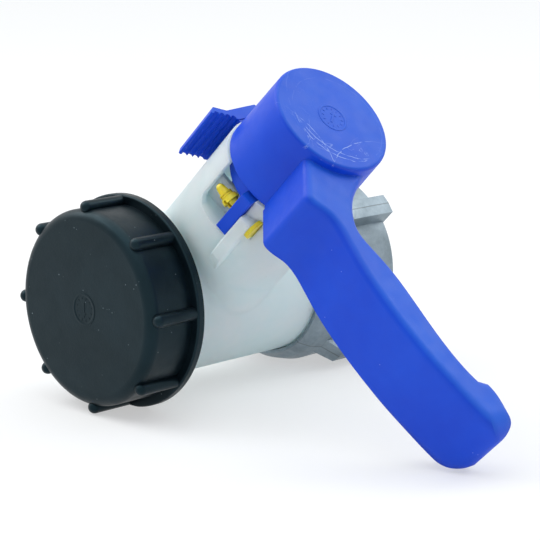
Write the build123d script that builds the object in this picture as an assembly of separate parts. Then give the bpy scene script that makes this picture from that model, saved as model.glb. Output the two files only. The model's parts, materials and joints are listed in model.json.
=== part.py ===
"""Butterfly valve for a liquid container, with a quarter-turn handle, lock, cap and union nut.

Millimetres. Z is the stem axis, Y the pipe axis with the outlet towards -Y, and the closed
handle reaches along +X. Pieces are drawn about the crossing of the two axes and moved at the
end, so that the origin lies on the pipe axis where the union nut's thread starts.
"""
import os

from build123d import *

os.makedirs("parts", exist_ok=True)

# Fits between pieces
RUN_GAP = 0.05
FREE_GAP = 0.3
CUT_EXTRA = 1.0

# Pipe of the moulded body, along Y
BORE_R = 25.0
NECK_R = 30.3
NECK_STEP = 0.2
PIPE_R = NECK_R + NECK_STEP
SPOUT_R = 28.6
SPOUT_END_Y = -44.4
SPOUT_ROOT_Y = -27.4
SPOUT_CHAMFER = 1.2
RING_GROOVE_Y = 46.4
RING_GROOVE_W = 3.2
RING_GROOVE_DEPTH = 2.2
INLET_FACE_Y = 60.0
GASKET_T = 2.6
SEAT_GAP = 0.2
ORIGIN_Y = INLET_FACE_Y + GASKET_T + SEAT_GAP

# Tower that carries the stem and hides the lock
TOWER_R = 24.3
TOWER_WALL = 2.8
TOWER_TOP_Z = 73.0
TOWER_FLOOR_Z = 40.0
TOWER_FOOT_FILLET = 4.0
STEM_BOSS_R = 12.6
STEM_BOSS_TOP_Z = 46.4
SIDE_WINDOW_X = (-TOWER_R - 2.7, -TOWER_R + 9.3)
SIDE_WINDOW_HALF_Y = 6.0

# Lock direction, turned a little from X: window, rib, tab and pin are drawn along it
LOCK_ANGLE = 13.0
LOCK_TRAVEL = 2.0
WINDOW_X = (-12.6, 4.8)
WINDOW_FRONT_Y = -TOWER_R - 3.7
WINDOW_FLOOR_Y = -15.6
WINDOW_FLOOR_T = 1.7
WINDOW_FLOOR_TOP_Z = 62.5
WINDOW_Z = 52.0
WINDOW_CORNER_R = 3.0
RIB_X = (4.8, 9.6)
RIB_OUTLINE = ((-16.0, 68.2), (-26.7, 65.5), (-26.9, 52.0), (-25.6, 44.0), (-21.0, 34.0), (-16.0, 34.0))
RIB_NOSE_Y = -21.0
RIB_EDGE_R = 0.7

# Blind boss under the pipe
FOOT_BOSS_R = 11.0
FOOT_BOSS_END_Z = -34.5
FOOT_BOSS_FILLET = 2.0
FOOT_POCKET_END_Z = -31.6

# Stem and what turns with it
STEM_R = 8.0
STEM_FOOT_R = 5.4
STEM_SQUARE = 11.0
STEM_END_Z = -31.2
STEM_FOOT_TOP_Z = -23.6
STEM_JOURNAL_Z = (23.8, 49.6)
STEM_TOP_Z = 96.0
O_RING_Z = (32.0, 39.0)
O_RING_MAJOR = 7.15
O_RING_MINOR = 0.78
O_RING_GROOVE_R = 6.3
O_RING_GROOVE_HALF = 1.1
CLIP_Z = 46.7
CLIP_T = 1.4
CLIP_OUTER_R = 10.4
CLIP_GROOVE_R = 6.6
CLIP_GAP_W = 4.0

# Disc and its rubber rim
DISC_GAP = 0.3
DISC_RIM_T = 2.1
DISC_SEAL_R = BORE_R - DISC_GAP
DISC_BODY_R = DISC_SEAL_R - DISC_RIM_T
DISC_HALF_T = 3.0
DISC_CENTRE_HALF_T = 5.0
DISC_HUB_R = 10.6
DISC_FACE_R = 60.0
SQUARE_GAP = 0.1

# Handle, one moulding: hub, drive sleeve and offset arm
HUB_TOP_R = 22.8
HUB_FOOT_R = 23.4
HUB_FOOT_Z = 73.7
HUB_TOP_Z = 104.3
HUB_TOP_T = 3.4
HUB_WALL = 2.8
HUB_EDGE_R = 1.3
SLEEVE_R = 12.6
SLEEVE_FOOT_Z = 50.6
ARM_FOOT_Z = 72.6
ARM_TOP_Z = 101.0
ARM_WALL = 2.6
ARM_TOP_T = 3.0
ARM_EDGE_R = 2.6
ARM_RELIEF_R = 24.9
ARM_ROOT = (7.0, -16.1)
ARM_FRONT = (
    (26.8, -29.8), (31.4, -28.2), (35.4, -25.4), (40.0, -24.3), (47.0, -24.5), (57.0, -25.2),
    (66.0, -25.0), (76.0, -24.1), (87.0, -22.4), (97.0, -20.3), (106.0, -17.7), (113.0, -15.6),
    (119.6, -13.2), (125.0, -10.2), (127.4, -6.3), (125.4, -2.4), (119.4, -0.6), (113.0, -0.4),
    (108.6, -1.6),
)
ARM_BACK = (
    (106.6, -5.2), (98.0, -7.9), (89.6, -9.3), (74.0, -10.5), (59.4, -12.2), (50.0, -14.7),
    (44.3, -15.7), (37.5, -13.5), (30.5, -8.0), (25.8, -1.5), (21.5, 5.0),
)
ARM_CORNER_R = 3.4
ARM_CORE_FRONT = (0.03, 0.93)
ARM_CORE_BACK = (0.05, 0.96)
ARM_CORE_POINTS = 15
ARM_CORE_END_X = 117.5
TIP_X = 127.6
TIP_FOOT_R = 9.0
TIP_TOP_R = 9.0
ARM_RIB_X = (50.0, 66.0, 82.0, 98.0)
ARM_RIB_T = 1.8
ARM_RIB_FOOT_Z = 84.0

# Lock slide, one moulding: plate, hanging tab and thumb pad
LOCK_PLATE_Z = (66.9, 71.6)
LOCK_PLATE_GAP = 0.5
LOCK_PLATE_R = TOWER_R - TOWER_WALL - LOCK_PLATE_GAP
LOCK_SLOT_GAP = 1.3
LOCK_SLOT_CORNER_R = 4.0
TAB_X = (-0.3, 4.5)
TAB_Y = (-25.8, -16.2)
TAB_Z = (53.8, 72.2)
TAB_EDGE_R = 0.5
THUMB_ARM_X = (-TOWER_R - 3.7, -TOWER_R + 9.3)
THUMB_ARM_HALF_Y = 5.0
PAD_Z = (48.0, 72.0)
PAD_PLAN = (
    (-5.6, -16.2), (-1.1, -5.0), (-2.1, 6.7), (-6.7, 6.7), (-6.2, -0.6), (-5.6, -8.4), (-7.9, -13.8),
)
PAD_GROOVES = 4
PAD_GROOVE_R = 1.1
PAD_EDGE_R = 0.5

# Seal pin, along the lock direction through rib and tab
PIN_Y = -21.1
PIN_Z = 62.8
PIN_SHANK_R = 2.4
PIN_HEAD_R = 4.6
PIN_HEAD_X = (9.65, 11.2)
PIN_HEAD_EDGE_R = 0.5
PIN_ROOM_X = 11.6
PIN_BARB_X = (-2.6, -4.6)
PIN_BARB_R = 3.3
PIN_SHOULDER_R = 3.0
PIN_NECK_R = 2.0
PIN_RING_X = (-5.2, -6.1)
PIN_RING_R = 2.45
PIN_RING_HALF = 0.3
PIN_NOSE_X = -9.4
PIN_NOSE_R = 1.5
PIN_TIP_X = -10.3
PIN_TIP_R = 0.8
PIN_SLIT_W = 1.0
PIN_SLIT_X = (0.5, -4.0)
PIN_HOLE_R = 2.45
TAB_HOLE_R = 2.9

# Screw cap
CAP_R = 36.4
CAP_FACE_Y = -50.6
CAP_FACE_T = 3.4
CAP_EDGE_R = 4.0
CAP_IN_R = 31.4
CAP_FLANGE_R = 39.9
CAP_FLANGE_Y = (-31.2, -28.2)
CAP_FLANGE_EDGE_R = 0.8
CAP_RIB_COUNT = 8
CAP_RIB_ANGLE = 3.0
CAP_RIB_R = 2.4
CAP_RIB_CENTRE_R = 37.1
CAP_RIB_FRONT_Y = -47.4
CAP_GASKET_T = 2.6
CAP_GASKET_R = 30.6
CAP_GASKET_IN_R = 22.0

# Union nut, its retaining ring and the inlet gasket
NUT_Y = (40.0, 79.0)
NUT_LIP_GAP = 0.4
NUT_LIP_R = PIPE_R + NUT_LIP_GAP
NUT_LIP_OUT_R = NUT_LIP_R + 1.3
NUT_LIP_END_Y = 46.2
RETAINER_STEP = 1.3
RETAINER_R = NUT_LIP_R + RETAINER_STEP
RETAINER_GAP = 0.4
NUT_CAVITY_R = RETAINER_R + RETAINER_GAP
NUT_WALL = 3.4
NUT_R = NUT_CAVITY_R + NUT_WALL
NUT_RELIEF = 1.0
NUT_CAVITY_END_Y = ORIGIN_Y - NUT_RELIEF
NUT_SHOULDER_Y = 50.5
NUT_SHOULDER_R = NUT_R + 0.3
NUT_SHOULDER_BULGE = (NUT_R - 1.1, 45.0)
NUT_RIM_R = NUT_R - 0.7
NUT_RIM_Y = 78.0
NUT_THREAD_R = 31.0
NUT_THREAD_Y = ORIGIN_Y
LUG_COUNT = 4
LUG_ANGLE = 86.0
LUG_BASE_HALF = 4.7
LUG_TOP_HALF = 4.0
LUG_ROOT = 2.5
LUG_BASE_R = NUT_R - LUG_ROOT
LUG_SIDE_R = NUT_R + 5.9
LUG_RIDGE_R = NUT_R + 6.3
LUG_RAMP_Y = (49.5, 57.0)
LUG_RAMP_R = NUT_R - 0.6
RETAINER_T = 2.8
RETAINER_GAP_W = 6.0
INLET_GASKET_IN_R = 25.4
INLET_GASKET_OUT_R = 29.9

HALF_TURN = 180.0
FULL_TURN = 360.0
LOCK_WAY = Rot(0, 0, LOCK_ANGLE)


def about_pipe(points):
    """Solid turned about the pipe axis from (radius, y) points."""
    return revolve(make_face(Polyline(*points, close=True)), Axis.Y)


def about_stem(points):
    """Solid turned about the stem axis from (radius, z) points."""
    return revolve(Plane.XZ * make_face(Polyline(*points, close=True)), Axis.Z)


def ring_about_stem(inner, outer, z):
    """Flat ring about the stem axis between two radii and two heights."""
    return about_stem([(inner, z[0]), (outer, z[0]), (outer, z[1]), (inner, z[1])])


def block(x, y, z):
    """Box between two limits on each axis."""
    size = Box(x[1] - x[0], y[1] - y[0], z[1] - z[0])
    return Pos((x[0] + x[1]) / 2, (y[0] + y[1]) / 2, (z[0] + z[1]) / 2) * size


def pillar(plan, z):
    """Plan face raised between two heights."""
    return Pos(0, 0, z[0]) * extrude(plan, z[1] - z[0])


def rod_x(radius, x, y, z):
    """Cylinder along X between two limits."""
    low = min(x)
    length = max(x) - low
    return Pos(low + length / 2, y, z) * Rot(0, HALF_TURN / 2, 0) * Cylinder(radius, length)


def around_pipe(shape, angle):
    """Shape drawn at +X, turned about the pipe axis towards +Z."""
    return Rot(0, -angle, 0) * shape


def circles_at(shape, radius, y):
    """Round edges of a radius about the pipe axis at one place along it."""
    rings = shape.edges().filter_by(GeomType.CIRCLE)
    near = [e for e in rings if abs(e.radius - radius) < RUN_GAP and abs(e.center().Y - y) < RUN_GAP]
    return ShapeList(near)


def body():
    """Pipe, tower, rib and foot boss in one moulding."""
    outer = about_pipe([
        (0, SPOUT_END_Y), (SPOUT_R - SPOUT_CHAMFER, SPOUT_END_Y),
        (SPOUT_R, SPOUT_END_Y + SPOUT_CHAMFER), (SPOUT_R, SPOUT_ROOT_Y),
        (PIPE_R, SPOUT_ROOT_Y), (PIPE_R, RING_GROOVE_Y),
        (NECK_R - RING_GROOVE_DEPTH, RING_GROOVE_Y),
        (NECK_R - RING_GROOVE_DEPTH, RING_GROOVE_Y + RING_GROOVE_W),
        (NECK_R, RING_GROOVE_Y + RING_GROOVE_W), (NECK_R, INLET_FACE_Y), (0, INLET_FACE_Y),
    ])
    tower = Pos(0, 0, TOWER_TOP_Z / 2) * Cylinder(TOWER_R, TOWER_TOP_Z)
    shape = outer + tower
    seam = [e for e in shape.edges() if e.geom_type not in (GeomType.CIRCLE, GeomType.LINE)]
    shape = fillet(seam, TOWER_FOOT_FILLET)
    foot = Pos(0, 0, FOOT_BOSS_END_Z / 2) * Cylinder(FOOT_BOSS_R, -FOOT_BOSS_END_Z)
    foot_rim = foot.edges().sort_by(Axis.Z)[:1]
    shape = shape + fillet(foot_rim, FOOT_BOSS_FILLET)
    cavity_r = TOWER_R - TOWER_WALL
    cavity = about_stem([
        (STEM_BOSS_R, TOWER_FLOOR_Z), (cavity_r, TOWER_FLOOR_Z), (cavity_r, TOWER_TOP_Z + CUT_EXTRA),
        (0, TOWER_TOP_Z + CUT_EXTRA), (0, STEM_BOSS_TOP_Z), (STEM_BOSS_R, STEM_BOSS_TOP_Z),
    ])
    shape = shape - cavity
    open_top = TOWER_TOP_Z + CUT_EXTRA
    inner_y = WINDOW_FLOOR_Y + WINDOW_FLOOR_T
    chord = (-TOWER_R, TOWER_R)
    back = block(chord, (-TOWER_R, inner_y), (TOWER_FLOOR_Z - CUT_EXTRA, WINDOW_Z))
    back = back + block(chord, (WINDOW_FLOOR_Y, inner_y), (WINDOW_Z - CUT_EXTRA, WINDOW_FLOOR_TOP_Z))
    back = back & (Pos(0, 0, TOWER_TOP_Z / 2) * Cylinder(TOWER_R - TOWER_WALL / 2, TOWER_TOP_Z))
    shape = shape + (LOCK_WAY * back)
    window = block(WINDOW_X, (WINDOW_FRONT_Y, WINDOW_FLOOR_Y), (WINDOW_Z, open_top))
    window = fillet(window.edges().filter_by(Axis.Y).sort_by(Axis.Z)[:2], WINDOW_CORNER_R)
    shape = shape - (LOCK_WAY * window)
    side_half = SIDE_WINDOW_HALF_Y
    sill = LOCK_PLATE_Z[0] - FREE_GAP
    shape = shape - block(SIDE_WINDOW_X, (-side_half, side_half), (sill, open_top))
    rib_plan = Plane.YZ * make_face(Polyline(*RIB_OUTLINE, close=True))
    rib = Pos(RIB_X[0], 0, 0) * extrude(rib_plan, RIB_X[1] - RIB_X[0])
    rib_edges = [e for e in rib.edges() if abs(e.tangent_at(0).X) < RUN_GAP]
    rib = fillet([e for e in rib_edges if e.center().Y < RIB_NOSE_Y], RIB_EDGE_R)
    plate_room = Pos(0, 0, (sill + open_top) / 2) * Cylinder(cavity_r, open_top - sill)
    shape = shape + ((LOCK_WAY * rib) - plate_room)
    through_rib = (RIB_X[0] - CUT_EXTRA, RIB_X[1] + CUT_EXTRA)
    shape = shape - (LOCK_WAY * rod_x(PIN_HOLE_R, through_rib, PIN_Y, PIN_Z))
    head_room = rod_x(PIN_HEAD_R + FREE_GAP, (RIB_X[1], PIN_ROOM_X), PIN_Y, PIN_Z)
    shape = shape - (LOCK_WAY * head_room)
    bore = about_pipe([
        (0, SPOUT_END_Y - CUT_EXTRA), (BORE_R, SPOUT_END_Y - CUT_EXTRA),
        (BORE_R, INLET_FACE_Y + CUT_EXTRA), (0, INLET_FACE_Y + CUT_EXTRA),
    ])
    shape = shape - bore
    stem_hole = Pos(0, 0, TOWER_TOP_Z / 2) * Cylinder(STEM_R + RUN_GAP, TOWER_TOP_Z)
    pocket = Pos(0, 0, FOOT_POCKET_END_Z / 2) * Cylinder(STEM_FOOT_R + RUN_GAP, -FOOT_POCKET_END_Z)
    return shape - stem_hole - pocket


def stem():
    """Round journal between two square drives, with grooves for rings and clip."""
    half = STEM_SQUARE / 2
    square = block((-half, half), (-half, half), (STEM_END_Z, STEM_TOP_Z))
    foot = block((-half - CUT_EXTRA, half + CUT_EXTRA), (-half - CUT_EXTRA, half + CUT_EXTRA),
                 (STEM_END_Z - CUT_EXTRA, STEM_FOOT_TOP_Z))
    shape = square - foot
    shape = shape + ring_about_stem(0, STEM_FOOT_R, (STEM_END_Z, STEM_FOOT_TOP_Z))
    shape = shape + ring_about_stem(0, STEM_R, STEM_JOURNAL_Z)
    clear_r = STEM_R + CUT_EXTRA
    for ring_z in O_RING_Z:
        groove = (ring_z - O_RING_GROOVE_HALF, ring_z + O_RING_GROOVE_HALF)
        shape = shape - ring_about_stem(O_RING_GROOVE_R, clear_r, groove)
    clip_groove = (CLIP_Z - RUN_GAP, CLIP_Z + CLIP_T + RUN_GAP)
    return shape - ring_about_stem(CLIP_GROOVE_R, clear_r, clip_groove)


def o_ring(height):
    """Rubber ring in a stem groove."""
    return Pos(0, 0, height) * Torus(O_RING_MAJOR, O_RING_MINOR)


def stem_clip():
    """Open snap ring that keeps the stem from rising."""
    shape = ring_about_stem(CLIP_GROOVE_R + RUN_GAP, CLIP_OUTER_R, (CLIP_Z, CLIP_Z + CLIP_T))
    return shape - block((0, CLIP_OUTER_R + CUT_EXTRA), (-CLIP_GAP_W / 2, CLIP_GAP_W / 2),
                         (CLIP_Z - CUT_EXTRA, CLIP_Z + CLIP_T + CUT_EXTRA))


def disc_envelope(half_thickness):
    """Thin slab across the pipe joined to a round hub along the stem."""
    slab = Rot(HALF_TURN / 2, 0, 0) * Cylinder(DISC_SEAL_R + CUT_EXTRA, 2 * half_thickness)
    return slab + Cylinder(DISC_HUB_R, 2 * (DISC_SEAL_R + CUT_EXTRA))


def disc():
    """Closing disc with a square drive hole and domed faces."""
    half = STEM_SQUARE / 2 + SQUARE_GAP
    centre = DISC_CENTRE_HALF_T - DISC_FACE_R
    dome = Pos(0, centre, 0) * Sphere(DISC_FACE_R)
    dome = dome & (Pos(0, -centre, 0) * Sphere(DISC_FACE_R))
    shape = Sphere(DISC_BODY_R) & (disc_envelope(DISC_HALF_T) + dome)
    return shape - block((-half, half), (-half, half), (-DISC_SEAL_R, DISC_SEAL_R))


def disc_seal():
    """Rubber rim of the disc, with a pad round the stem at each pole."""
    shell = Sphere(DISC_SEAL_R) - Sphere(DISC_BODY_R)
    shape = shell & disc_envelope(DISC_HALF_T)
    return shape - Cylinder(STEM_R + FREE_GAP, 2 * (DISC_SEAL_R + CUT_EXTRA))


def inset(curve, span):
    """Curve inside another by the arm's wall, with the inside on its left."""
    points = []
    for index in range(ARM_CORE_POINTS):
        place = span[0] + (span[1] - span[0]) * index / (ARM_CORE_POINTS - 1)
        along = curve % place
        points.append(curve @ place + Vector(-along.Y, along.X) * ARM_WALL)
    return points


def arm_core_plan():
    """Outline of the hollow in the arm."""
    front = inset(Spline(*ARM_FRONT), ARM_CORE_FRONT)
    back = inset(Spline(*ARM_BACK), ARM_CORE_BACK)
    root = Polyline(back[-1], (0, 0), front[0])
    return make_face(Spline(*front) + Line(front[-1], back[0]) + Spline(*back) + root)


def arm_plan():
    """Outline of the arm seen along the stem."""
    front = Spline(*ARM_FRONT)
    hook = Line(ARM_FRONT[-1], ARM_BACK[0])
    back = Spline(*ARM_BACK)
    root = Polyline(ARM_BACK[-1], ARM_ROOT, ARM_FRONT[0])
    face = make_face(front + hook + back + root)
    corner = face.vertices().sort_by_distance(ARM_FRONT[0])[:1]
    return fillet(corner, ARM_CORNER_R)


def handle():
    """Hub with a closed top, drive sleeve and hollow arm."""
    plan = arm_plan()
    arm = pillar(plan, (ARM_FOOT_Z, ARM_TOP_Z))
    arm = fillet(arm.faces().sort_by(Axis.Z)[-1].edges(), ARM_EDGE_R)
    arm = arm - (Pos(0, 0, (ARM_FOOT_Z - CUT_EXTRA + HUB_FOOT_Z) / 2)
                 * Cylinder(ARM_RELIEF_R, HUB_FOOT_Z - ARM_FOOT_Z + CUT_EXTRA))
    wide = (-HUB_FOOT_R * 2, HUB_FOOT_R * 2)
    nose = block((-HUB_FOOT_R, TIP_X), wide, (ARM_FOOT_Z, ARM_TOP_Z))
    tip_edges = nose.edges().filter_by(Axis.Y).sort_by(Axis.X)[-2:]
    nose = fillet(tip_edges.sort_by(Axis.Z)[-1:], TIP_TOP_R)
    foot_edges = nose.edges().filter_by(Axis.Y).sort_by(Axis.Z)[:2]
    arm = arm & fillet(foot_edges.sort_by(Axis.X)[-1:], TIP_FOOT_R)
    hub = about_stem([
        (0, HUB_FOOT_Z), (HUB_FOOT_R, HUB_FOOT_Z), (HUB_TOP_R, HUB_TOP_Z), (0, HUB_TOP_Z),
    ])
    hub = fillet(hub.edges().filter_by(GeomType.CIRCLE).sort_by(Axis.Z)[-1:], HUB_EDGE_R)
    core = pillar(arm_core_plan(), (ARM_FOOT_Z - CUT_EXTRA, ARM_TOP_Z - ARM_TOP_T))
    core = core - block((ARM_CORE_END_X, TIP_X), wide, (0, ARM_TOP_Z))
    for rib_x in ARM_RIB_X:
        core = core - block((rib_x, rib_x + ARM_RIB_T), wide, (ARM_RIB_FOOT_Z, ARM_TOP_Z))
    core = core - (Pos(0, 0, ARM_TOP_Z / 2) * Cylinder(HUB_TOP_R - HUB_WALL / 2, ARM_TOP_Z))
    shape = (arm - core) + hub
    cavity_top = HUB_TOP_Z - HUB_TOP_T
    cavity_r = HUB_TOP_R - HUB_WALL
    shape = shape - (Pos(0, 0, (HUB_FOOT_Z - CUT_EXTRA + cavity_top) / 2)
                     * Cylinder(cavity_r, cavity_top - HUB_FOOT_Z + CUT_EXTRA))
    sleeve = Cylinder(SLEEVE_R, cavity_top - SLEEVE_FOOT_Z)
    shape = shape + (Pos(0, 0, (SLEEVE_FOOT_Z + cavity_top) / 2) * sleeve)
    half = STEM_SQUARE / 2 + SQUARE_GAP
    socket_z = (SLEEVE_FOOT_Z - CUT_EXTRA, STEM_TOP_Z + FREE_GAP)
    return shape - block((-half, half), (-half, half), socket_z)


def lock_slide():
    """Sliding catch: plate round the sleeve, tab on the seal pin and grooved thumb pad."""
    plate = Circle(LOCK_PLATE_R) & (Pos(LOCK_TRAVEL, 0) * Circle(LOCK_PLATE_R))
    half = SLEEVE_R + LOCK_SLOT_GAP
    travel = Vector(LOCK_TRAVEL, 0).rotate(Axis.Z, LOCK_ANGLE)
    slot = RectangleRounded(2 * half + travel.X, 2 * half + travel.Y, LOCK_SLOT_CORNER_R)
    slot = Pos(travel.X / 2, travel.Y / 2) * slot
    tab = block(TAB_X, TAB_Y, TAB_Z)
    tab = fillet(tab.faces().sort_by(Axis.Y)[0].edges(), TAB_EDGE_R)
    tab = tab - rod_x(TAB_HOLE_R, (TAB_X[0] - CUT_EXTRA, TAB_X[1] + CUT_EXTRA), PIN_Y, PIN_Z)
    shape = LOCK_WAY * (pillar(plate, LOCK_PLATE_Z) + tab)
    shape = shape + block(THUMB_ARM_X, (-THUMB_ARM_HALF_Y, THUMB_ARM_HALF_Y), LOCK_PLATE_Z)
    room = pillar(slot, (LOCK_PLATE_Z[0] - CUT_EXTRA, LOCK_PLATE_Z[1] + CUT_EXTRA))
    shape = shape - room
    pad_plan = [(-TOWER_R + x, y) for x, y in PAD_PLAN]
    pad = pillar(make_face(Polyline(*pad_plan, close=True)), PAD_Z)
    pad = fillet(pad.edges().filter_by(Axis.Z), PAD_EDGE_R)
    start = Vector(*pad_plan[0])
    step = (Vector(*pad_plan[1]) - start) / (PAD_GROOVES + 1)
    tall = 2 * PAD_Z[1]
    for index in range(PAD_GROOVES):
        spot = start + step * (index + 1)
        pad = pad - (Pos(spot.X, spot.Y, 0) * Cylinder(PAD_GROOVE_R, tall))
    return shape + pad


def seal_pin():
    """Push-in pin: round head, shank, split barb and ringed tip."""
    profile = [(0, PIN_HEAD_X[1]), (PIN_HEAD_R, PIN_HEAD_X[1]), (PIN_HEAD_R, PIN_HEAD_X[0])]
    profile += [(PIN_SHANK_R, PIN_HEAD_X[0]), (PIN_SHANK_R, PIN_BARB_X[0]), (PIN_BARB_R, PIN_BARB_X[0])]
    profile += [(PIN_SHOULDER_R, PIN_BARB_X[1]), (PIN_NECK_R, PIN_BARB_X[1])]
    for ring_x in PIN_RING_X:
        profile += [(PIN_NECK_R, ring_x + PIN_RING_HALF), (PIN_RING_R, ring_x + PIN_RING_HALF)]
        profile += [(PIN_RING_R, ring_x - PIN_RING_HALF), (PIN_NECK_R, ring_x - PIN_RING_HALF)]
    profile += [(PIN_NOSE_R, PIN_NOSE_X), (PIN_TIP_R, PIN_TIP_X), (0, PIN_TIP_X)]
    shape = about_stem(profile)
    rim = shape.edges().filter_by(GeomType.CIRCLE).sort_by(Axis.Z)[-1:]
    shape = fillet(rim, PIN_HEAD_EDGE_R)
    half = PIN_SLIT_W / 2
    slit = block((-half, half), (-PIN_BARB_R * 2, PIN_BARB_R * 2), (PIN_SLIT_X[1], PIN_SLIT_X[0]))
    shape = shape - slit
    return LOCK_WAY * Pos(0, PIN_Y, PIN_Z) * Rot(0, HALF_TURN / 2, 0) * shape


def screw_cap():
    """Closed cap with a flange and rounded grip ribs."""
    flange_front, flange_back = CAP_FLANGE_Y
    shape = about_pipe([
        (0, CAP_FACE_Y), (CAP_R, CAP_FACE_Y), (CAP_R, flange_front), (CAP_FLANGE_R, flange_front),
        (CAP_FLANGE_R, flange_back), (0, flange_back),
    ])
    shape = fillet(circles_at(shape, CAP_R, CAP_FACE_Y), CAP_EDGE_R)
    shape = fillet(circles_at(shape, CAP_FLANGE_R, flange_front), CAP_FLANGE_EDGE_R)
    rib_end = (flange_front + flange_back) / 2
    rib_length = rib_end - CAP_RIB_FRONT_Y
    rib = Rot(HALF_TURN / 2, 0, 0) * Cylinder(CAP_RIB_R, rib_length)
    rib = Pos(0, CAP_RIB_FRONT_Y + rib_length / 2, 0) * rib
    rib = rib + (Pos(0, CAP_RIB_FRONT_Y, 0) * Sphere(CAP_RIB_R))
    rib = Pos(CAP_RIB_CENTRE_R, 0, 0) * rib
    for index in range(CAP_RIB_COUNT):
        shape = shape + around_pipe(rib, CAP_RIB_ANGLE + index * FULL_TURN / CAP_RIB_COUNT)
    inside = CAP_FACE_Y + CAP_FACE_T
    past = flange_back + CUT_EXTRA
    return shape - about_pipe([(0, inside), (CAP_IN_R, inside), (CAP_IN_R, past), (0, past)])


def cap_gasket():
    """Flat ring between the cap and the end of the spout."""
    face = CAP_FACE_Y + CAP_FACE_T
    return about_pipe([
        (CAP_GASKET_IN_R, face), (CAP_GASKET_R, face),
        (CAP_GASKET_R, face + CAP_GASKET_T), (CAP_GASKET_IN_R, face + CAP_GASKET_T),
    ])


def union_nut():
    """Die-cast nut with a rounded shoulder and ramped striking lugs."""
    low, high = NUT_Y
    outline = [
        (NUT_LIP_R, low), (NUT_LIP_OUT_R, low), NUT_SHOULDER_BULGE, (NUT_SHOULDER_R, NUT_SHOULDER_Y),
        (NUT_R, NUT_RIM_Y), (NUT_RIM_R, high), (NUT_THREAD_R, high), (NUT_THREAD_R, NUT_THREAD_Y),
        (NUT_CAVITY_R, NUT_CAVITY_END_Y), (NUT_CAVITY_R, NUT_LIP_END_Y), (NUT_LIP_R, NUT_LIP_END_Y),
    ]
    shape = about_pipe(outline)
    section = ((LUG_BASE_R, -LUG_BASE_HALF), (LUG_SIDE_R, -LUG_TOP_HALF), (LUG_RIDGE_R, 0),
               (LUG_SIDE_R, LUG_TOP_HALF), (LUG_BASE_R, LUG_BASE_HALF))
    bar = extrude(Plane.XZ * make_face(Polyline(*section, close=True)), -(high - LUG_RAMP_Y[0]))
    bar = Pos(0, LUG_RAMP_Y[0], 0) * bar
    over = LUG_RIDGE_R + CUT_EXTRA
    slope = (over - LUG_RAMP_R) * (LUG_RAMP_Y[1] - LUG_RAMP_Y[0]) / (LUG_RIDGE_R - LUG_RAMP_R)
    ramp = make_face(Polyline(
        (LUG_RAMP_R, LUG_RAMP_Y[0]), (over, LUG_RAMP_Y[0] + slope), (over, LUG_RAMP_Y[0] - CUT_EXTRA),
        (LUG_RAMP_R, LUG_RAMP_Y[0] - CUT_EXTRA), close=True))
    ramp = Pos(0, 0, -LUG_BASE_HALF * 2) * extrude(ramp, LUG_BASE_HALF * 2 * 2)
    bar = bar - ramp
    for index in range(LUG_COUNT):
        shape = shape + around_pipe(bar, LUG_ANGLE + index * FULL_TURN / LUG_COUNT)
    return shape


def nut_ring():
    """Split ring that keeps the union nut on the neck."""
    inner = NECK_R - RING_GROOVE_DEPTH + RUN_GAP
    low = RING_GROOVE_Y + (RING_GROOVE_W - RETAINER_T) / 2
    shape = about_pipe([
        (inner, low), (RETAINER_R, low), (RETAINER_R, low + RETAINER_T), (inner, low + RETAINER_T),
    ])
    gap = block((0, RETAINER_R + CUT_EXTRA), (low - CUT_EXTRA, low + RETAINER_T + CUT_EXTRA),
                (-RETAINER_GAP_W / 2, RETAINER_GAP_W / 2))
    return shape - gap


def inlet_gasket():
    """Flat sealing ring on the inlet face."""
    return about_pipe([
        (INLET_GASKET_IN_R, INLET_FACE_Y), (INLET_GASKET_OUT_R, INLET_FACE_Y),
        (INLET_GASKET_OUT_R, INLET_FACE_Y + GASKET_T), (INLET_GASKET_IN_R, INLET_FACE_Y + GASKET_T),
    ])


NODES = {
    "valve_body": body,
    "stem": stem,
    "upper_o_ring": lambda: o_ring(O_RING_Z[1]),
    "lower_o_ring": lambda: o_ring(O_RING_Z[0]),
    "stem_clip": stem_clip,
    "disc": disc,
    "disc_seal": disc_seal,
    "handle": handle,
    "lock_slide": lock_slide,
    "seal_pin": seal_pin,
    "screw_cap": screw_cap,
    "cap_gasket": cap_gasket,
    "union_nut": union_nut,
    "nut_ring": nut_ring,
    "inlet_gasket": inlet_gasket,
}

for name, make in NODES.items():
    solid = Pos(0, -ORIGIN_Y, 0) * make()
    export_step(solid, "parts/" + name + ".step")
    print(name, round(solid.volume), len(solid.solids()))
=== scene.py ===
import json
import math

import bmesh
import bpy
from mathutils import Matrix, Vector


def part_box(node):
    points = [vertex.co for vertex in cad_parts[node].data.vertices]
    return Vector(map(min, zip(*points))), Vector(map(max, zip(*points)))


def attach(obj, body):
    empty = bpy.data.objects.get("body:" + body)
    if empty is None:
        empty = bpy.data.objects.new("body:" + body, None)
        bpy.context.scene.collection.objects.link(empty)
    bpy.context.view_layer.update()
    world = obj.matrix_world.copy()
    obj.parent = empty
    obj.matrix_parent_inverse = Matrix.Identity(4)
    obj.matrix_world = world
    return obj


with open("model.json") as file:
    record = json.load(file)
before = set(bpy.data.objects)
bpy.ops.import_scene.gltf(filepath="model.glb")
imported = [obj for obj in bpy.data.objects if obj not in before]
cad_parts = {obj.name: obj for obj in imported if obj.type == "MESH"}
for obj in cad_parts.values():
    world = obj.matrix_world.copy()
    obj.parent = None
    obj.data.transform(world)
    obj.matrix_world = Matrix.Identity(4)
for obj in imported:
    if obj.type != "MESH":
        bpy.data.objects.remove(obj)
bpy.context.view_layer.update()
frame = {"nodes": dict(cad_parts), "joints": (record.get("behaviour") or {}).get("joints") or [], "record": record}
NODES = frame["nodes"]
JOINTS = {joint["name"]: joint for joint in frame["joints"]}
MOUNTS = {mount["name"]: mount for mount in frame["record"]["mounts"]}
CAP_SCREW = frame["record"]["behaviour"]["couplings"][0]

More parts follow.
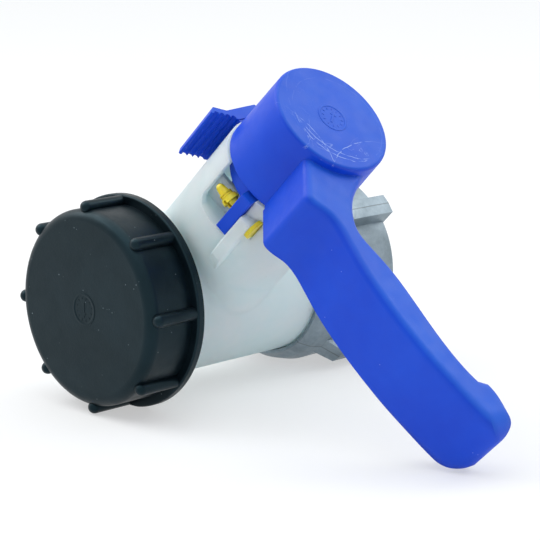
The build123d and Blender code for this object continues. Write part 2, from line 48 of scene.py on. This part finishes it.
# Sizes taken from the frame, in metres
STEM_Y = JOINTS["handle_turn"]["pos_m"][1]
CAP_FACE_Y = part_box("screw_cap")[0].y
HUB_TOP_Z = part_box("handle")[1].z
NUT_R = MOUNTS["union_thread"]["dims"]["r_mm"] / 1000
PITCH = CAP_SCREW["ratio"] * 2 * math.pi

# Threads, which the solids leave plain: radii, ends along the pipe, and widths at root and crest
SPOUT_R = 0.0286
SPOUT_CREST_R = 0.0301
SPOUT_THREAD_Y = (STEM_Y - 0.0432, STEM_Y - 0.0285)
CAP_IN_R = 0.0314
CAP_CREST_R = 0.0293
CAP_THREAD_Y = (STEM_Y - 0.0435, STEM_Y - 0.0300)
NUT_CREST_R = 0.0297
NUT_THREAD_Y = (0.0012, 0.0156)
WIDE_RIDGE = (0.0030, 0.0014)
NARROW_RIDGE = (0.0026, 0.0012)
RIDGE_SINK = 0.0003
THREAD_STEPS = 96
FADE_STEPS = THREAD_STEPS / 6
FADED_HEIGHT = 0.02

# Bare mould inserts on cap and hub: outlines as shares of their width, heights in metres
CAP_STAMP_WIDTH = 0.0122
HUB_STAMP_WIDTH = 0.0118
STAMP_FOOT = -0.00005
RING_SECTION = (
    (0.50, STAMP_FOOT), (0.50, 0.00010), (0.47, 0.00014),
    (0.43, 0.00014), (0.41, 0.00005), (0.41, STAMP_FOOT),
)
RING_STEPS = 64
TICK = ((0.30, -0.014), (0.37, -0.014), (0.37, 0.014), (0.30, 0.014))
TICK_TOP = 0.00010
TICK_COUNT = 12
POINTER = (
    (-0.035, -0.22), (0.035, -0.22), (0.035, 0.10), (0.11, 0.10),
    (0.0, 0.26), (-0.11, 0.10), (-0.035, 0.10),
)
POINTER_TOP = 0.00011

# Where the arm's edges turn soft towards its tip, and by how much
ARM_TIP_X = (0.085, 0.115)
EDGE_SOFTNESS = 0.0003
TIP_SOFTNESS = 0.0042

# Scratches on the hub's top: circles that pass near its worn arm side
HUB_TOP_BAND = (HUB_TOP_Z - 0.0017, HUB_TOP_Z - 0.0007)
WORN_SPOT = (0.015, STEM_Y - 0.010, HUB_TOP_Z)
WORN_REACH = (0.010, 0.022)
SCRATCH_WIDTH = 0.00022
SCRATCH_WANDER = 0.0012
SCUFFS = (
    ((0.0010, STEM_Y + 0.0020, HUB_TOP_Z), 0.0190),
    ((-0.0030, STEM_Y + 0.0060, HUB_TOP_Z), 0.0225),
    ((0.0300, STEM_Y - 0.0300, HUB_TOP_Z), 0.0200),
    ((0.0120, STEM_Y - 0.0420, HUB_TOP_Z), 0.0310),
    ((0.0420, STEM_Y + 0.0060, HUB_TOP_Z), 0.0310),
)

# Parting lines of the nut's casting, in degrees about the pipe
PARTING_ANGLES = (86.0, 176.0)
PARTING_WIDTH = 0.00035
PARTING_WANDER = 0.0003

# Photographer's camera, and the table that the part lies on
CAMERA_AT = Vector((0.25915, -0.56897, 0.5055))
CAMERA_RIGHT = Vector((0.492653, 0.702323, 0.513843))
CAMERA_UP = Vector((-0.806242, 0.146139, 0.573251))
CAMERA_BACK = Vector((0.327515, -0.696696, 0.638238))
CAMERA_LENS = 133.333
SENSOR_WIDTH = 36.0
TABLE_UP = Vector((-0.7154, -0.0292, 0.6981)).normalized()
TABLE_OFFSET = -0.0365
TABLE_HALF = 2.2
TABLE_TONE = (0.96, 0.96, 0.955, 1.0)
TABLE_GLOW = 0.5

# Studio light: each lamp's place to the left, above the table and back towards the camera
AIM = Vector((0.03, -0.055, 0.03))
SOFT_BOXES = (
    {"name": "left_soft_box", "place": (0.8, 0.75, -0.3), "width": 0.7, "power": 3.6},
    {"name": "right_soft_box", "place": (-0.66, 0.73, -0.19), "width": 0.55, "power": 2.3},
)
OVERHEAD_PLACE = (0.25, 1.0, -0.05)
OVERHEAD_POWER = 1.7
OVERHEAD_TONE = (0.97, 0.99, 1.0)
OVERHEAD_SPREAD = math.radians(75)
SURROUND_TONE = (0.86, 0.93, 1.0, 1.0)
SURROUND_STRENGTH = 0.45
WHITE_LIGHT = (1.0, 1.0, 1.0, 1.0)


def linear(r, g, b):
    """Screen colour, 0 to 255, as a linear colour."""
    out = []
    for value in (r, g, b):
        c = value / 255.0
        out.append(c / 12.92 if c <= 0.04045 else ((c + 0.055) / 1.055) ** 2.4)
    return (*out, 1.0)


def add_node(tree, kind, **settings):
    """New node of a kind, with its settings."""
    made = tree.nodes.new(kind)
    for key, value in settings.items():
        setattr(made, key, value)
    return made


def fill(node, **values):
    """Set a node's inputs by name, with _ for a space."""
    for key, value in values.items():
        node.inputs[key.replace("_", " ")].default_value = value


def feed(tree, socket, value):
    """Link a socket to another one, or set it to a constant."""
    if isinstance(value, bpy.types.NodeSocket):
        tree.links.new(value, socket)
    else:
        socket.default_value = value


def mix_shaders(tree, share, first, second):
    """Shader between two, by a share that is a number or a socket."""
    made = add_node(tree, "ShaderNodeMixShader")
    for socket, value in zip(made.inputs, (share, first, second)):
        feed(tree, socket, value)
    return made.outputs["Shader"]


def background_rays(tree):
    """1 for rays that see the background: camera, glossy and transmission rays."""
    path = add_node(tree, "ShaderNodeLightPath")
    seen = path.outputs["Is Camera Ray"]
    for kind in ("Is Glossy Ray", "Is Transmission Ray"):
        either = add_node(tree, "ShaderNodeMath", operation="MAXIMUM")
        feed(tree, either.inputs[0], seen)
        feed(tree, either.inputs[1], path.outputs[kind])
        seen = either.outputs["Value"]
    return seen


class Shader:
    """A principled material with a few helpers for its node tree."""

    def __init__(self, name):
        self.mat = bpy.data.materials.new(name)
        self.mat.use_nodes = True
        self.tree = self.mat.node_tree
        self.bsdf = self.tree.nodes["Principled BSDF"]
        self.place = add_node(self.tree, "ShaderNodeTexCoord").outputs["Object"]

    def node(self, kind, **settings):
        return add_node(self.tree, kind, **settings)

    def link(self, value, socket):
        feed(self.tree, socket, value)

    def set(self, **values):
        """Constants on the principled shader."""
        fill(self.bsdf, **values)

    def stretched(self, scale):
        """Object coordinates, scaled on each axis."""
        made = self.node("ShaderNodeMapping")
        fill(made, Scale=scale)
        self.link(self.place, made.inputs["Vector"])
        return made.outputs["Vector"]

    def noise(self, scale, detail=3.0, rough=0.55, vector=None, distortion=0.0):
        made = self.node("ShaderNodeTexNoise")
        fill(made, Scale=scale, Detail=detail, Roughness=rough, Distortion=distortion)
        self.link(vector or self.place, made.inputs["Vector"])
        return made.outputs["Fac"]

    def spread(self, value, low, high, to_low, to_high):
        """A value from one range, carried over to another and held within it."""
        made = self.node("ShaderNodeMapRange", clamp=True)
        fill(made, From_Min=low, From_Max=high, To_Min=to_low, To_Max=to_high)
        self.link(value, made.inputs["Value"])
        return made.outputs["Result"]

    def math(self, kind, a, b):
        made = self.node("ShaderNodeMath", operation=kind)
        self.link(a, made.inputs[0])
        self.link(b, made.inputs[1])
        return made.outputs["Value"]

    def mix(self, factor, a, b):
        """Colour between two, each a colour or a socket."""
        made = self.node("ShaderNodeMix", data_type="RGBA")
        colour_sockets = (made.inputs[0], made.inputs[6], made.inputs[7])
        for socket, value in zip(colour_sockets, (factor, a, b)):
            self.link(value, socket)
        return made.outputs[2]

    def specks(self, scale, size, patches, within, strength):
        """Small dots, only in patches: up to the strength in a dot's middle, 0 beside it."""
        cells = self.node("ShaderNodeTexVoronoi", feature="F1")
        fill(cells, Scale=scale)
        self.link(self.place, cells.inputs["Vector"])
        dot = self.spread(cells.outputs["Distance"], *size, 1.0, 0.0)
        some = self.spread(self.noise(patches, detail=2.0), *within, 0.0, strength)
        return self.math("MULTIPLY", dot, some)

    def bright_line(self, value, centre, width):
        """1 where a value passes a level, falling to 0 beside it."""
        away = self.math("ABSOLUTE", self.math("SUBTRACT", value, centre), 0.0)
        return self.spread(away, 0.0, width, 1.0, 0.0)

    def beyond(self, axis, low, high):
        """1 past a place along one row axis, 0 before it."""
        parts = self.node("ShaderNodeSeparateXYZ")
        self.link(self.place, parts.inputs["Vector"])
        return self.spread(parts.outputs[axis], low, high, 0.0, 1.0)

    def facing_up(self, low, high):
        """1 on faces that look up along the stem, 0 on upright ones."""
        shape = self.node("ShaderNodeNewGeometry")
        parts = self.node("ShaderNodeSeparateXYZ")
        self.link(shape.outputs["Normal"], parts.inputs["Vector"])
        return self.spread(parts.outputs["Z"], low, high, 0.0, 1.0)

    def measured(self, kind, vector):
        """One number from the surface's place and a vector in the row frame."""
        made = self.node("ShaderNodeVectorMath", operation=kind)
        self.link(self.place, made.inputs[0])
        self.link(vector, made.inputs[1])
        return made.outputs["Value"]

    def away_from(self, point):
        """Distance of the surface from a point."""
        return self.measured("DISTANCE", point)

    def across(self, normal):
        """Signed distance of the surface from a plane through the origin."""
        return self.measured("DOT_PRODUCT", normal)

    def rounded_edges(self, radius):
        """Surface normal with the edges rounded off by a radius that varies over the piece."""
        made = self.node("ShaderNodeBevel", samples=6)
        self.link(radius, made.inputs["Radius"])
        return made.outputs["Normal"]

    def bump(self, height, strength, distance, under=None):
        made = self.node("ShaderNodeBump")
        fill(made, Strength=strength, Distance=distance)
        self.link(height, made.inputs["Height"])
        if under is not None:
            self.link(under, made.inputs["Normal"])
        return made.outputs["Normal"]

    def skin(self, *layers, under=None):
        """Bump from noise, finest layer first: scale, detail, strength and depth."""
        for scale, detail, strength, depth in layers:
            under = self.bump(self.noise(scale, detail), strength, depth, under)
        return under

    def colour(self, socket):
        self.link(socket, self.bsdf.inputs["Base Color"])

    def roughness(self, value, low, high):
        """Roughness between two values, as a noise value goes."""
        self.link(self.spread(value, 0.3, 0.7, low, high), self.bsdf.inputs["Roughness"])

    def normal(self, socket):
        self.link(socket, self.bsdf.inputs["Normal"])

    def let_light_through(self, tone, share):
        """Part of the light passes the wall, spread out."""
        through = self.node("ShaderNodeBsdfTranslucent")
        self.link(tone, through.inputs["Color"])
        both = mix_shaders(self.tree, share, self.bsdf.outputs["BSDF"], through.outputs["BSDF"])
        self.link(both, self.tree.nodes["Material Output"].inputs["Surface"])


def natural_plastic():
    """Milky translucent polyethylene with cloudy flow, sparse dust and a satin skin."""
    s = Shader("natural_polyethylene")
    s.set(IOR=1.5, Subsurface_Weight=1.0, Subsurface_Scale=0.006, Subsurface_Radius=(0.9, 1.0, 1.05))
    cloud = s.noise(38.0, detail=4.0, rough=0.6, distortion=0.6)
    flow = s.noise(1.0, rough=0.5, vector=s.stretched((170.0, 34.0, 170.0)))
    dust = s.specks(420.0, size=(0.03, 0.075), patches=95.0, within=(0.58, 0.64), strength=0.6)
    tone = s.mix(s.spread(cloud, 0.32, 0.7, 0.0, 1.0), linear(231, 251, 251), linear(240, 254, 254))
    tone = s.mix(s.spread(flow, 0.55, 0.75, 0.0, 0.35), tone, linear(221, 246, 247))
    tone = s.mix(dust, tone, linear(150, 160, 158))
    s.colour(tone)
    s.roughness(s.noise(260.0, detail=4.0), 0.34, 0.5)
    s.normal(s.skin((2300.0, 2.0, 0.10, 0.0002), (120.0, 3.0, 0.10, 0.0008)))
    s.let_light_through(tone, 0.22)
    return s.mat


def black_plastic():
    """Black moulded cap: satin skin, a thin grey film and pale dust."""
    s = Shader("black_polyethylene")
    s.set(IOR=1.5, Specular_IOR_Level=0.27, Specular_Tint=(0.42, 0.83, 1.0, 1.0))
    cloud = s.noise(60.0, detail=4.0, rough=0.6)
    patch_noise = s.noise(24.0, detail=5.0, rough=0.65, distortion=0.8)
    dust = s.specks(520.0, size=(0.07, 0.15), patches=150.0, within=(0.59, 0.66), strength=0.7)
    tone = s.mix(s.spread(cloud, 0.3, 0.7, 0.0, 1.0), linear(5, 12, 17), linear(9, 18, 24))
    tone = s.mix(dust, tone, linear(140, 152, 158))
    tone = s.mix(s.spread(patch_noise, 0.48, 0.78, 0.0, 0.22), tone, linear(42, 56, 63))
    s.colour(tone)
    s.roughness(s.noise(190.0, detail=4.0), 0.3, 0.46)
    s.normal(s.skin((1900.0, 2.0, 0.16, 0.0002), (210.0, 3.0, 0.08, 0.0006)))
    return s.mat


def hub_scratches(s):
    """1 on the broken scratches of the hub's top, most of them on its worn side."""
    ragged = s.math("MULTIPLY", s.noise(300.0), SCRATCH_WANDER)
    fine = s.bright_line(s.noise(46.0, rough=0.5, distortion=1.6), 0.52, 0.005)
    lines = s.math("MULTIPLY", fine, 0.5)
    for centre, radius in SCUFFS:
        arc = s.bright_line(s.math("ADD", s.away_from(centre), ragged), radius, SCRATCH_WIDTH)
        lines = s.math("MAXIMUM", lines, arc)
    broken = s.spread(s.noise(240.0, detail=2.0), 0.4, 0.52, 0.0, 1.0)
    worn_side = s.spread(s.away_from(WORN_SPOT), *WORN_REACH, 1.0, 0.12)
    on_top = s.beyond("Z", *HUB_TOP_BAND)
    return s.math("MULTIPLY", s.math("MULTIPLY", lines, broken), s.math("MULTIPLY", worn_side, on_top))


def blue_plastic():
    """Blue moulded plastic: a soft arm tip, satin grain, a painted sheen that pales upward-facing faces, specks
    and scratches.
    """
    s = Shader("blue_moulded_plastic")
    s.set(IOR=1.5, Specular_IOR_Level=0.27)
    cloud = s.noise(42.0, detail=4.0, rough=0.6)
    patch_noise = s.noise(28.0, detail=4.0, rough=0.6)
    # Painted sheen: faces that look up are mixed towards a pale blue in place of light reflected from above, by an
    # amount that a noise varies.
    painted_top_sheen = s.math("MULTIPLY", s.facing_up(0.55, 0.95), s.spread(patch_noise, 0.3, 0.7, 0.07, 0.13))
    scratch = hub_scratches(s)
    speck = s.specks(330.0, size=(0.03, 0.07), patches=120.0, within=(0.6, 0.66), strength=0.7)
    tone = s.mix(s.spread(cloud, 0.3, 0.7, 0.0, 1.0), linear(2, 64, 202), linear(6, 74, 212))
    # The painted sheen from above pales the colour of upward-facing faces.
    tone = s.mix(painted_top_sheen, tone, linear(96, 190, 250))
    s.colour(s.mix(s.math("MAXIMUM", scratch, speck), tone, linear(168, 190, 244)))
    wear = s.spread(s.noise(180.0, detail=4.0), 0.3, 0.7, 0.36, 0.5)
    s.link(s.math("ADD", wear, s.math("MULTIPLY", scratch, 0.2)), s.bsdf.inputs["Roughness"])
    at_tip = s.math("MULTIPLY", s.beyond("X", *ARM_TIP_X), TIP_SOFTNESS)
    edges = s.rounded_edges(s.math("ADD", at_tip, EDGE_SOFTNESS))
    grain = s.skin((1700.0, 2.0, 0.12, 0.0002), (55.0, 2.0, 0.10, 0.0012), under=edges)
    s.normal(s.bump(scratch, 0.25, 0.0002, grain))
    return s.mat


def yellow_plastic():
    """Bright yellow pin with a smooth, slightly cloudy skin."""
    s = Shader("yellow_moulded_plastic")
    s.set(IOR=1.5, Subsurface_Weight=0.12, Subsurface_Scale=0.002)
    cloud = s.spread(s.noise(160.0), 0.3, 0.7, 0.0, 1.0)
    s.colour(s.mix(cloud, linear(228, 202, 28), linear(242, 224, 58)))
    s.roughness(s.noise(600.0), 0.28, 0.42)
    s.normal(s.skin((1500.0, 2.0, 0.08, 0.0002)))
    return s.mat


def parting_lines(s):
    """1 on the thin lines where the halves of the nut's mould met."""
    ragged = s.math("MULTIPLY", s.noise(260.0, detail=2.0), PARTING_WANDER)
    lines = None
    for angle in PARTING_ANGLES:
        turn = math.radians(angle)
        level = s.across((-math.sin(turn), 0.0, math.cos(turn)))
        line = s.bright_line(s.math("ADD", level, ragged), PARTING_WANDER / 2, PARTING_WIDTH)
        lines = line if lines is None else s.math("MAXIMUM", lines, line)
    return lines


def cast_aluminium():
    """As-cast aluminium: grey, blotchy, with flow marks, pits, parting lines and a fine sandy skin."""
    s = Shader("die_cast_aluminium")
    s.set(Metallic=0.85)
    cloud = s.noise(120.0, detail=6.0, rough=0.7, distortion=0.3)
    flow = s.noise(1.0, detail=4.0, rough=0.6, vector=s.stretched((130.0, 40.0, 130.0)), distortion=0.4)
    pit = s.specks(700.0, size=(0.04, 0.10), patches=210.0, within=(0.56, 0.62), strength=0.8)
    parting = parting_lines(s)
    tone = s.mix(s.spread(cloud, 0.3, 0.72, 0.0, 1.0), linear(122, 136, 144), linear(152, 166, 175))
    tone = s.mix(s.spread(flow, 0.5, 0.75, 0.0, 0.4), tone, linear(104, 114, 119))
    tone = s.mix(pit, tone, linear(96, 101, 103))
    s.colour(s.mix(s.math("MULTIPLY", parting, 0.75), tone, linear(84, 90, 92)))
    s.roughness(s.noise(240.0, detail=4.0), 0.38, 0.58)
    sand = s.skin((1300.0, 3.0, 0.16, 0.0003), (140.0, 3.0, 0.12, 0.0008))
    dents = s.math("SUBTRACT", 1.0, s.math("MAXIMUM", pit, parting))
    s.normal(s.bump(dents, 0.25, 0.0003, sand))
    return s.mat


def plain_plastic(name, dark, light):
    """Moulded engineering plastic with faint fibre streaks."""
    s = Shader(name)
    s.set(IOR=1.5)
    streak = s.noise(1.0, detail=4.0, rough=0.6, vector=s.stretched((420.0, 420.0, 90.0)))
    s.colour(s.mix(s.spread(streak, 0.3, 0.7, 0.0, 1.0), dark, light))
    s.roughness(s.noise(320.0), 0.4, 0.56)
    s.normal(s.skin((1600.0, 2.0, 0.12, 0.0002)))
    return s.mat


def rubber():
    """Black moulded rubber with a dull bloom."""
    s = Shader("black_rubber_bloom")
    s.set(IOR=1.5)
    bloom = s.noise(90.0, detail=4.0, rough=0.65)
    s.colour(s.mix(s.spread(bloom, 0.45, 0.75, 0.0, 1.0), linear(26, 27, 28), linear(52, 54, 55)))
    s.roughness(s.noise(420.0), 0.58, 0.78)
    s.normal(s.skin((1900.0, 2.0, 0.2, 0.0002)))
    return s.mat


def spring_steel():
    """Stamped steel with a rolled grain."""
    s = Shader("stamped_spring_steel")
    s.set(Metallic=1.0)
    grain = s.noise(1.0, rough=0.5, vector=s.stretched((2200.0, 160.0, 400.0)))
    s.colour(s.mix(s.spread(grain, 0.3, 0.7, 0.0, 1.0), linear(150, 153, 157), linear(196, 199, 203)))
    s.roughness(grain, 0.26, 0.42)
    s.normal(s.bump(grain, 0.1, 0.0001))
    return s.mat


NATURAL = natural_plastic()
BLACK = black_plastic()
BLUE = blue_plastic()
YELLOW = yellow_plastic()
ALUMINIUM = cast_aluminium()
GREY = plain_plastic("glass_filled_plastic", linear(118, 122, 125), linear(150, 154, 157))
WHITE = plain_plastic("white_moulded_plastic", linear(214, 217, 214), linear(232, 234, 231))
RUBBER = rubber()
STEEL = spring_steel()

FINISHES = {
    "valve_body": NATURAL, "screw_cap": BLACK, "handle": BLUE, "lock_slide": BLUE, "seal_pin": YELLOW,
    "union_nut": ALUMINIUM, "stem": GREY, "nut_ring": GREY, "disc": WHITE, "disc_seal": RUBBER,
    "upper_o_ring": RUBBER, "lower_o_ring": RUBBER, "cap_gasket": RUBBER, "inlet_gasket": RUBBER,
    "stem_clip": STEEL,
}
for node_name, finish in FINISHES.items():
    for place in NODES[node_name].material_slots:
        place.material = finish


def show(name, data):
    """New object in the scene."""
    obj = bpy.data.objects.new(name, data)
    bpy.context.scene.collection.objects.link(obj)
    return obj


def mesh_object(name, verts, faces, finish, body):
    """New piece from points and faces, riding on a body."""
    mesh = bpy.data.meshes.new(name)
    mesh.from_pydata(verts, [], faces)
    mesh.validate()
    work = bmesh.new()
    work.from_mesh(mesh)
    bmesh.ops.recalc_face_normals(work, faces=work.faces)
    work.to_mesh(mesh)
    work.free()
    for face in mesh.polygons:
        face.use_smooth = True
    mesh.set_sharp_from_angle(angle=math.radians(35))
    mesh.materials.append(finish)
    obj = show(name, mesh)
    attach(obj, body)
    return obj


def thread(name, wall, crest, span, ridge, finish, body, phase=0.0):
    """Right-handed ridge about the pipe axis that fades into its wall at both ends."""
    start, end = span
    root, tip = ridge
    turns = (end - start - root) / PITCH
    count = int(turns * THREAD_STEPS)
    foot = wall - math.copysign(RIDGE_SINK, crest - wall)
    verts = []
    for index in range(count + 1):
        angle = 2 * math.pi * index / THREAD_STEPS + phase
        middle = start + root / 2 + PITCH * index / THREAD_STEPS
        fade = min(1.0, index / FADE_STEPS, (count - index) / FADE_STEPS)
        top = wall + (crest - wall) * (FADED_HEIGHT + (1.0 - FADED_HEIGHT) * fade)
        for radius, shift in ((foot, -root / 2), (top, -tip / 2), (top, tip / 2), (foot, root / 2)):
            verts.append((radius * math.sin(angle), middle + shift, radius * math.cos(angle)))
    faces = []
    for low in range(0, count * 4, 4):
        for side in range(4):
            after = (side + 1) % 4
            faces.append((low + side, low + after, low + 4 + after, low + 4 + side))
    last = count * 4
    faces.append((0, 1, 2, 3))
    faces.append((last + 3, last + 2, last + 1, last))
    return mesh_object(name, verts, faces, finish, body)


def ring(section, width, centre, u, v):
    """Points and faces of a closed section that goes round a centre in the plane of u and v."""
    normal = u.cross(v)
    points = []
    for share, lift in section:
        for index in range(RING_STEPS):
            angle = 2 * math.pi * index / RING_STEPS
            out = u * math.cos(angle) + v * math.sin(angle)
            points.append(centre + out * share * width + normal * lift)
    faces = []
    for low in range(len(section)):
        high = (low + 1) % len(section)
        for index in range(RING_STEPS):
            after = (index + 1) % RING_STEPS
            faces.append((low * RING_STEPS + index, low * RING_STEPS + after,
                          high * RING_STEPS + after, high * RING_STEPS + index))
    return points, faces


def prism(outline, width, centre, u, v, top):
    """Points and faces of an outline in the plane of u and v, raised from the stamp's foot to a top."""
    normal = u.cross(v)
    points = []
    for lift in (STAMP_FOOT, top):
        for along, aside in outline:
            points.append(centre + u * along * width + v * aside * width + normal * lift)
    size = len(outline)
    faces = [tuple(range(size, 2 * size)), tuple(reversed(range(size)))]
    for i in range(size):
        j = (i + 1) % size
        faces.append((i, j, size + j, size + i))
    return points, faces


def stamp(name, centre, normal, width, finish, body):
    """Bare round mould insert: a shallow ring, dial marks and a pointer."""
    n = Vector(normal).normalized()
    side = n.orthogonal().normalized()
    other = n.cross(side)
    base = Vector(centre)
    parts = [ring(RING_SECTION, width, base, side, other)]
    for tick in range(TICK_COUNT):
        angle = 2 * math.pi * (tick + 0.5) / TICK_COUNT
        out = side * math.cos(angle) + other * math.sin(angle)
        parts.append(prism(TICK, width, base, out, n.cross(out), TICK_TOP))
    parts.append(prism(POINTER, width, base, side, other, POINTER_TOP))
    verts = []
    faces = []
    for points, sides in parts:
        first = len(verts)
        verts.extend(tuple(point) for point in points)
        faces.extend(tuple(first + i for i in corners) for corners in sides)
    return mesh_object(name, verts, faces, finish, body)


thread("outlet_thread", SPOUT_R, SPOUT_CREST_R, SPOUT_THREAD_Y, WIDE_RIDGE,
       NATURAL, "body")
thread("cap_thread", CAP_IN_R, CAP_CREST_R, CAP_THREAD_Y, NARROW_RIDGE,
       BLACK, "cap", math.pi)
thread("nut_thread", NUT_R, NUT_CREST_R, NUT_THREAD_Y, WIDE_RIDGE,
       ALUMINIUM, "nut")
stamp("cap_stamp", (0.0, CAP_FACE_Y, 0.0), (0.0, -1.0, 0.0), CAP_STAMP_WIDTH,
      BLACK, "cap")
stamp("hub_stamp", (0.0, STEM_Y, HUB_TOP_Z), (0.0, 0.0, 1.0), HUB_STAMP_WIDTH,
      BLUE, "turner")


def table_material():
    """Pale matt paper that also glows white for background rays, and is clear from below."""
    mat = bpy.data.materials.new("pale_table")
    mat.use_nodes = True
    tree = mat.node_tree
    paper = tree.nodes["Principled BSDF"]
    fill(paper, Base_Color=TABLE_TONE, Roughness=0.85, Specular_IOR_Level=0.2)
    glow = add_node(tree, "ShaderNodeEmission")
    fill(glow, Color=WHITE_LIGHT, Strength=1.0)
    share = add_node(tree, "ShaderNodeMath", operation="MULTIPLY")
    feed(tree, share.inputs[0], background_rays(tree))
    feed(tree, share.inputs[1], TABLE_GLOW)
    lit = mix_shaders(tree, share.outputs["Value"], paper.outputs["BSDF"], glow.outputs["Emission"])
    clear = add_node(tree, "ShaderNodeBsdfTransparent")
    below = add_node(tree, "ShaderNodeNewGeometry").outputs["Backfacing"]
    surface = mix_shaders(tree, below, lit, clear.outputs["BSDF"])
    feed(tree, tree.nodes["Material Output"].inputs["Surface"], surface)
    return mat


def table():
    """Pale one-sided table top in the plane that the part lies on."""
    side = TABLE_UP.cross(Vector((0.0, 1.0, 0.0))).normalized()
    ahead = TABLE_UP.cross(side).normalized()
    centre = TABLE_UP * TABLE_OFFSET
    corners = []
    for a, b in ((-1, -1), (1, -1), (1, 1), (-1, 1)):
        corners.append(tuple(centre + side * TABLE_HALF * a + ahead * TABLE_HALF * b))
    mesh = bpy.data.meshes.new("table_top")
    mesh.from_pydata(corners, [], [(0, 1, 2, 3)])
    if mesh.polygons[0].normal.dot(TABLE_UP) < 0:
        mesh.flip_normals()
    mesh.materials.append(table_material())
    obj = show("table_top", mesh)


def from_aim(place):
    """Step from the aim to a lamp, from its place as the camera sees it."""
    left, above, back = place
    return TABLE_UP * above - CAMERA_RIGHT * left + CAMERA_BACK * back


def facing_back(direction):
    """Turn of a lamp that stands in a direction and shines back along it."""
    return direction.to_track_quat("Z", "Y").to_matrix().to_4x4()


def lamps():
    """A wide overhead light and two soft boxes."""
    sky = bpy.data.lights.new("overhead", "SUN")
    sky.energy = OVERHEAD_POWER
    sky.color = OVERHEAD_TONE
    sky.angle = OVERHEAD_SPREAD
    show("overhead", sky).matrix_world = facing_back(from_aim(OVERHEAD_PLACE).normalized())
    for box in SOFT_BOXES:
        data = bpy.data.lights.new(box["name"], "AREA")
        data.shape = "SQUARE"
        data.size = box["width"]
        data.energy = box["power"]
        step = from_aim(box["place"])
        turn = facing_back(step.normalized())
        show(box["name"], data).matrix_world = Matrix.Translation(AIM + step) @ turn


def surround():
    """Weak cool light from all round, seen as plain white."""
    world = bpy.data.worlds.new("studio")
    bpy.context.scene.world = world
    world.use_nodes = True
    tree = world.node_tree
    light = tree.nodes["Background"]
    fill(light, Color=SURROUND_TONE, Strength=SURROUND_STRENGTH)
    seen = add_node(tree, "ShaderNodeBackground")
    fill(seen, Color=WHITE_LIGHT, Strength=1.0)
    both = mix_shaders(tree, background_rays(tree), light.outputs["Background"], seen.outputs["Background"])
    feed(tree, tree.nodes["World Output"].inputs["Surface"], both)


def camera():
    """Camera where the photograph was taken from."""
    data = bpy.data.cameras.new("photo_camera")
    data.sensor_fit = "HORIZONTAL"
    data.sensor_width = SENSOR_WIDTH
    data.lens = CAMERA_LENS
    obj = show("photo_camera", data)
    turn = Matrix((CAMERA_RIGHT, CAMERA_UP, CAMERA_BACK)).transposed()
    obj.matrix_world = Matrix.Translation(CAMERA_AT) @ turn.to_4x4()
    bpy.context.scene.camera = obj


table()
lamps()
surround()
camera()
bpy.context.scene.view_settings.view_transform = "Standard"
